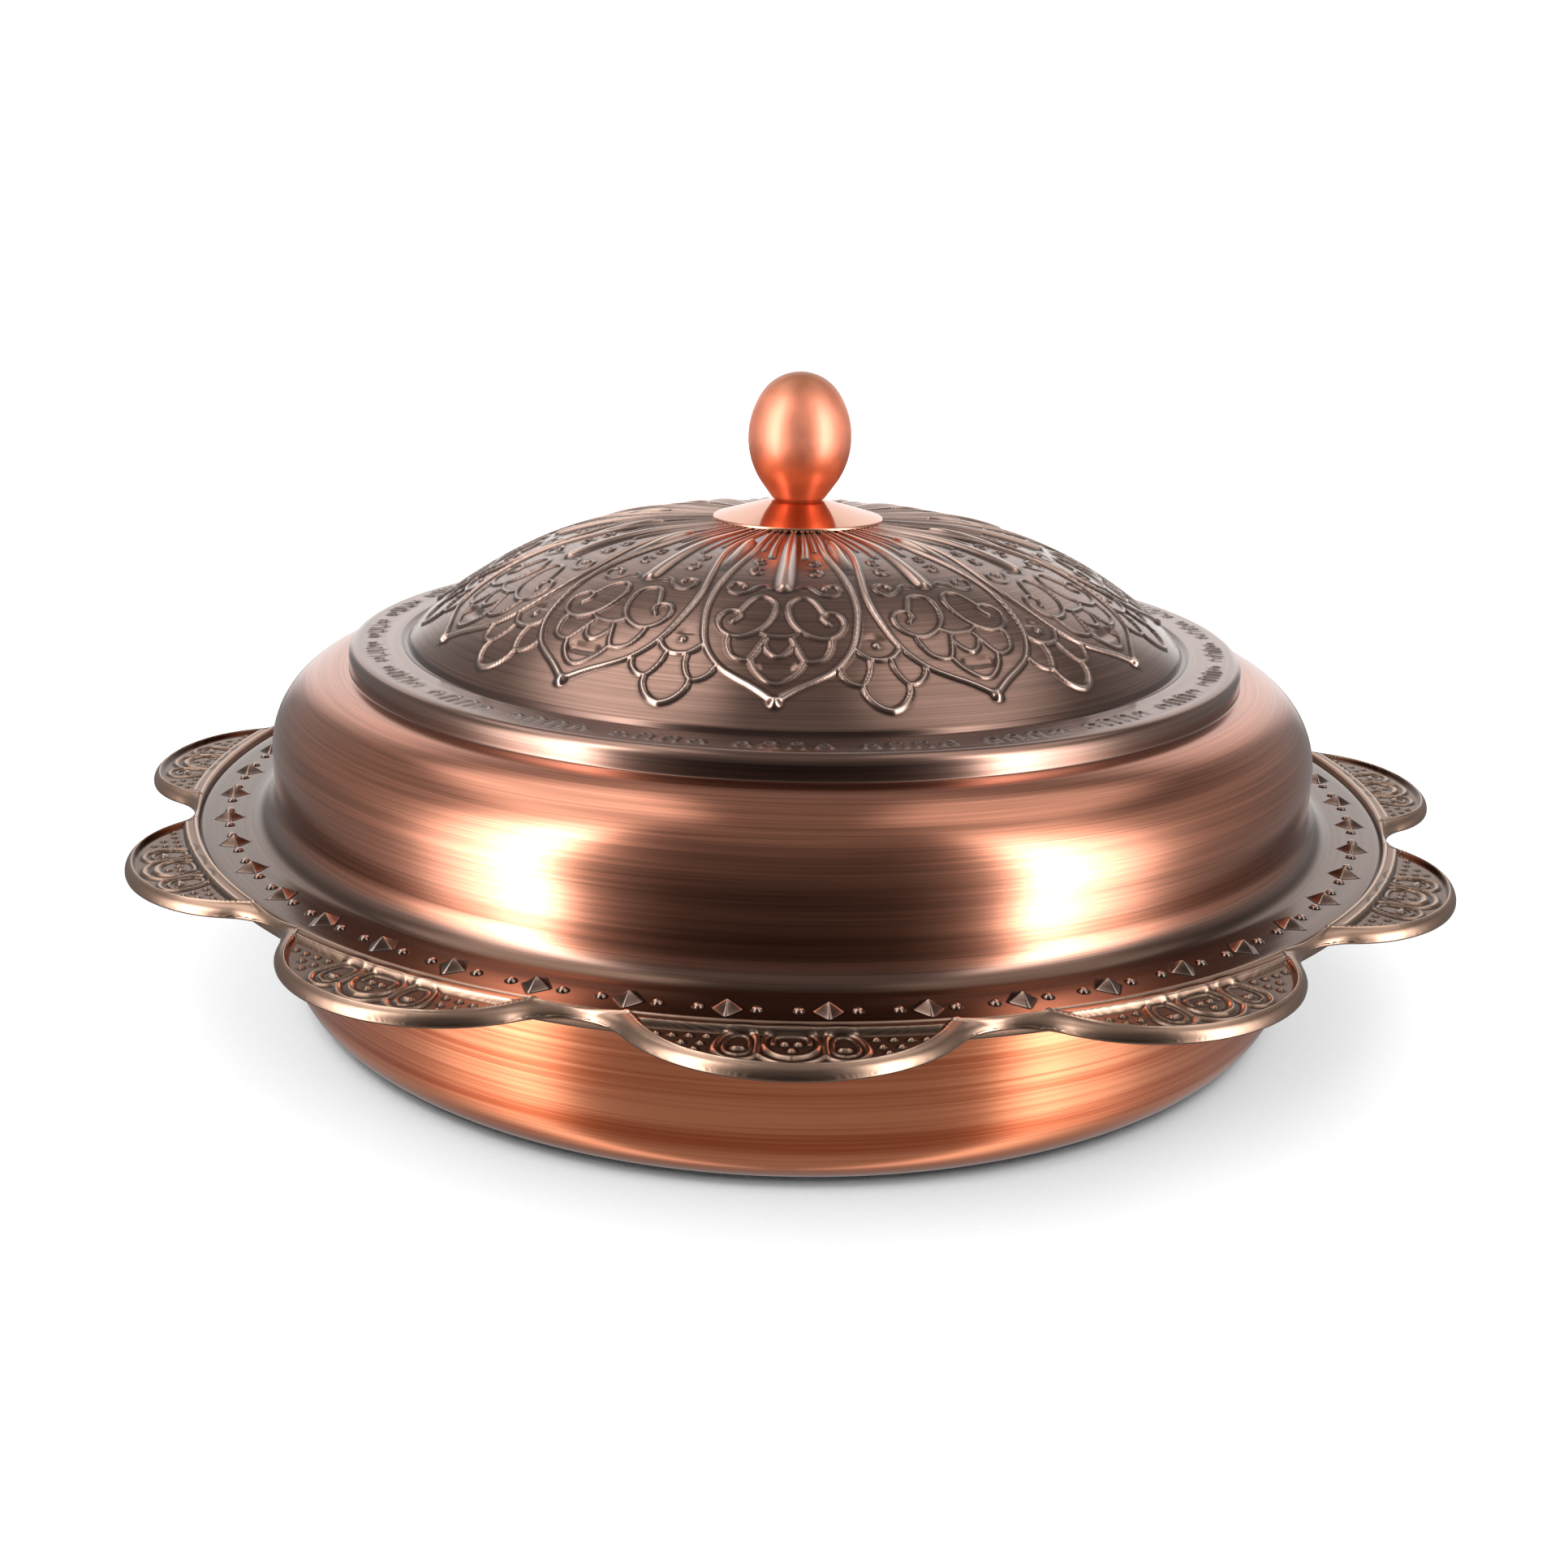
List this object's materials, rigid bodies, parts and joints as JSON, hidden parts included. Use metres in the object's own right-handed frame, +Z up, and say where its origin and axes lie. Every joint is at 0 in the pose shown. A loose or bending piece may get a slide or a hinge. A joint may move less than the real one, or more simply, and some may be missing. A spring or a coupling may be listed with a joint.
{
  "type": "covered turkish delight dish",
  "caption": "Covered copper dish: low round pan with a scalloped rim, and a domed lift-off lid with an egg-shaped knob.",
  "frame": {"origin": "middle of the flat base, on the table", "axes": "+Z up along the dish's axis; one lobe of the rim points to -Y"},
  "size_m": [0.2586, 0.2586, 0.1172],
  "materials": {
    "bright_copper": "brushed",
    "antique_copper_rim": "antiqued, polished edges",
    "antique_copper_lid": "antiqued and brushed",
    "polished_copper": "polished",
    "satin_copper": "satin",
    "steel": "zinc plated"
  },
  "bodies": {
    "dish": {"bowl": "bright_copper", "scalloped_rim": "antique_copper_rim"},
    "lid": {"lid_shell": "antique_copper_lid", "rosette": "polished_copper", "knob": "satin_copper", "knob_screw": "steel", "washer": "steel"}
  },
  "joints": [
    {"name": "lid_lift", "type": "slide", "parent": "dish", "child": "lid", "axis": [0, 0, 1], "range_m": [0, 0.12]}
  ]
}
